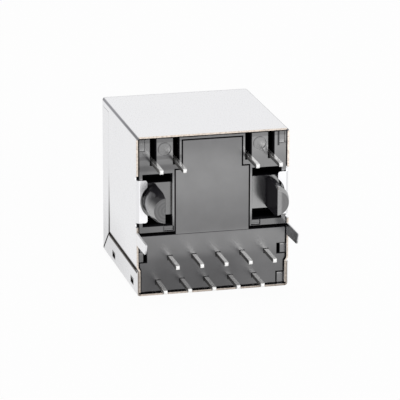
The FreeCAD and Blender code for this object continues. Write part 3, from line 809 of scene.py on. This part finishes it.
class JACK_OT_module(Operator):
    """Gives the board, coils and chips inside the carrier their finishes"""

    bl_idname = "jack.module"
    bl_label = "Module"

    # Length of the chips' tinned caps, in millimetres
    CAP = 0.2

    def execute(self, context):
        settings = context.scene.jack_module
        tin = context.scene.jack_pins.tin
        dress("module_board", board_finish(settings))
        ferrite = ferrite_finish(settings)
        for kind in ("transformer", "choke"):
            for node in nodes_named(f"{kind}_core"):
                finished_copy(node, ferrite)
            for node in nodes_named(f"{kind}_winding"):
                finished_copy(node, winding_finish(node, settings))
        for node in nodes_named("resistor"):
            dress(node, chip_finish(node, settings.glaze, tin, self.CAP))
        dress("capacitor", chip_finish("capacitor", settings.ceramic, tin, self.CAP))
        return {"FINISHED"}


class JACK_OT_stage(Operator):
    """Sets the floor, the lamps and the camera"""

    bl_idname = "jack.stage"
    bl_label = "Stage"

    # Places and sizes in metres, the share of glow in the seen floor, and the sensor in millimetres
    FLOOR_RADIUS = 1.5
    FLOOR_DROP = 0.01 * MM
    FLOOR_GLOW = 0.955
    FRONT_PLACE = (0.10, -0.55, 0.14)
    FRONT_SIZE = (0.6, 0.26)
    ABOVE_PLACE = (0.05, 0.05, 0.5)
    ABOVE_SIZE = (0.5, 0.5)
    LAMP_TARGET = (0, 0, 8 * MM)
    SENSOR_WIDTH = 36
    CLIP = (0.01, 10)

    def execute(self, context):
        settings = context.scene.jack_studio
        context.scene.view_settings.view_transform = "Standard"
        self.lay_floor(settings)
        self.light_world(settings)
        self.hang_softbox("front softbox", self.FRONT_PLACE, self.FRONT_SIZE, settings.front, mirrored=True)
        self.hang_softbox("upper softbox", self.ABOVE_PLACE, self.ABOVE_SIZE, settings.above, mirrored=False)
        self.set_camera(settings)
        return {"FINISHED"}

    def seen(self, nodes):
        """1 for what the camera sees, straight or in a reflection, and 0 for light on the object."""
        path = nodes.tree.nodes.new("ShaderNodeLightPath")
        rays = [Wire(nodes, path.outputs[name])
                for name in ("Is Camera Ray", "Is Glossy Ray", "Is Transmission Ray")]
        return rays[0].at_least(rays[1]).at_least(rays[2])

    def lay_floor(self, settings):
        """Pale round floor just under the jack, seen as almost white with a faint shadow."""
        form = bmesh.new()
        bmesh.ops.create_circle(form, cap_ends=True, segments=96, radius=self.FLOOR_RADIUS)
        mesh = bpy.data.meshes.new("studio_floor")
        form.to_mesh(mesh)
        form.free()
        floor = bpy.data.objects.new("studio_floor", mesh)
        bpy.context.scene.collection.objects.link(floor)
        mesh.transform(Matrix.Translation((0, 0, cad_box[0].z - self.FLOOR_DROP)))
        f = Finish("studio floor")
        f.set(Base_Color=settings.floor, Roughness=0.9)
        glow = f.add("ShaderNodeEmission", None, {"Color": (1, 1, 1), "Strength": 1.0})
        body = Wire(f, f.shader.outputs[0])
        share = self.seen(f) * self.FLOOR_GLOW
        mixed = f.add("ShaderNodeMixShader", None, {0: share, 1: body, 2: glow})
        f.links.new(mixed.socket, f.tree.nodes["Material Output"].inputs["Surface"])
        mesh.materials.append(f.material)

    def light_world(self, settings):
        """Even light from all round, seen as plain white."""
        world = bpy.data.worlds.new("studio")
        world.use_nodes = True
        bpy.context.scene.world = world
        nodes = NodeKit(world.node_tree)
        shown = self.seen(nodes)
        strength = shown + (1 - shown) * settings.ambient
        background = world.node_tree.nodes["Background"]
        nodes.feed(background.inputs["Color"], (1, 1, 1))
        nodes.feed(background.inputs["Strength"], strength)

    def hang_softbox(self, name, place, size, power, mirrored):
        """Rectangular lamp aimed at the jack, which shows in its reflections if mirrored."""
        lamp = bpy.data.lights.new(name, "AREA")
        lamp.shape = "RECTANGLE"
        lamp.size, lamp.size_y = size
        lamp.energy = power
        light = bpy.data.objects.new(name, lamp)
        light.location = place
        light.visible_glossy = mirrored
        aim = Vector(self.LAMP_TARGET) - light.location
        light.rotation_euler = aim.to_track_quat("-Z", "Y").to_euler()
        bpy.context.scene.collection.objects.link(light)

    def set_camera(self, settings):
        """Camera that looks at the target from its azimuth, elevation and distance."""
        lens = bpy.data.cameras.new("camera")
        lens.sensor_width = self.SENSOR_WIDTH
        lens.lens = settings.lens
        lens.clip_start, lens.clip_end = self.CLIP
        camera = bpy.data.objects.new("camera", lens)
        turn = Euler((math.pi / 2 - settings.elevation, 0, settings.azimuth)).to_matrix()
        turn = turn @ Matrix.Rotation(settings.roll, 3, "Z")
        place = Vector(settings.target) + turn.col[2] * settings.distance
        camera.matrix_world = Matrix.LocRotScale(place, turn, None)
        bpy.context.scene.collection.objects.link(camera)
        bpy.context.scene.camera = camera


class JACK_PT_panel(Panel):
    """Pieces of the jack and their finishes"""

    bl_idname = "JACK_PT_panel"
    bl_label = "Ethernet jack"
    bl_space_type = "VIEW_3D"
    bl_region_type = "UI"
    bl_category = "Jack"

    def draw(self, context):
        for operator in OPERATORS:
            self.layout.operator(operator.bl_idname)
        for name in SETTINGS:
            group = getattr(context.scene, name)
            box = self.layout.box()
            for prop in group.bl_rna.properties:
                if not prop.is_readonly and prop.identifier != "name":
                    box.prop(group, prop.identifier)


SETTINGS = {
    "jack_shield": ShieldSettings,
    "jack_mouldings": MouldingSettings,
    "jack_pins": PinSettings,
    "jack_contacts": ContactSettings,
    "jack_lights": LightSettings,
    "jack_module": ModuleSettings,
    "jack_studio": StudioSettings,
}
OPERATORS = (JACK_OT_shield, JACK_OT_mouldings, JACK_OT_pins, JACK_OT_contacts, JACK_OT_lights,
             JACK_OT_module, JACK_OT_stage)
CLASSES = (*SETTINGS.values(), *OPERATORS, JACK_PT_panel)


def register():
    for cls in CLASSES:
        bpy.utils.register_class(cls)
    for name, group in SETTINGS.items():
        setattr(bpy.types.Scene, name, PointerProperty(type=group))


def unregister():
    for name in SETTINGS:
        delattr(bpy.types.Scene, name)
    for cls in reversed(CLASSES):
        bpy.utils.unregister_class(cls)


def main():
    register()
    for operator in OPERATORS:
        group, name = operator.bl_idname.split(".")
        getattr(getattr(bpy.ops, group), name)()


if __name__ == "__main__":
    main()
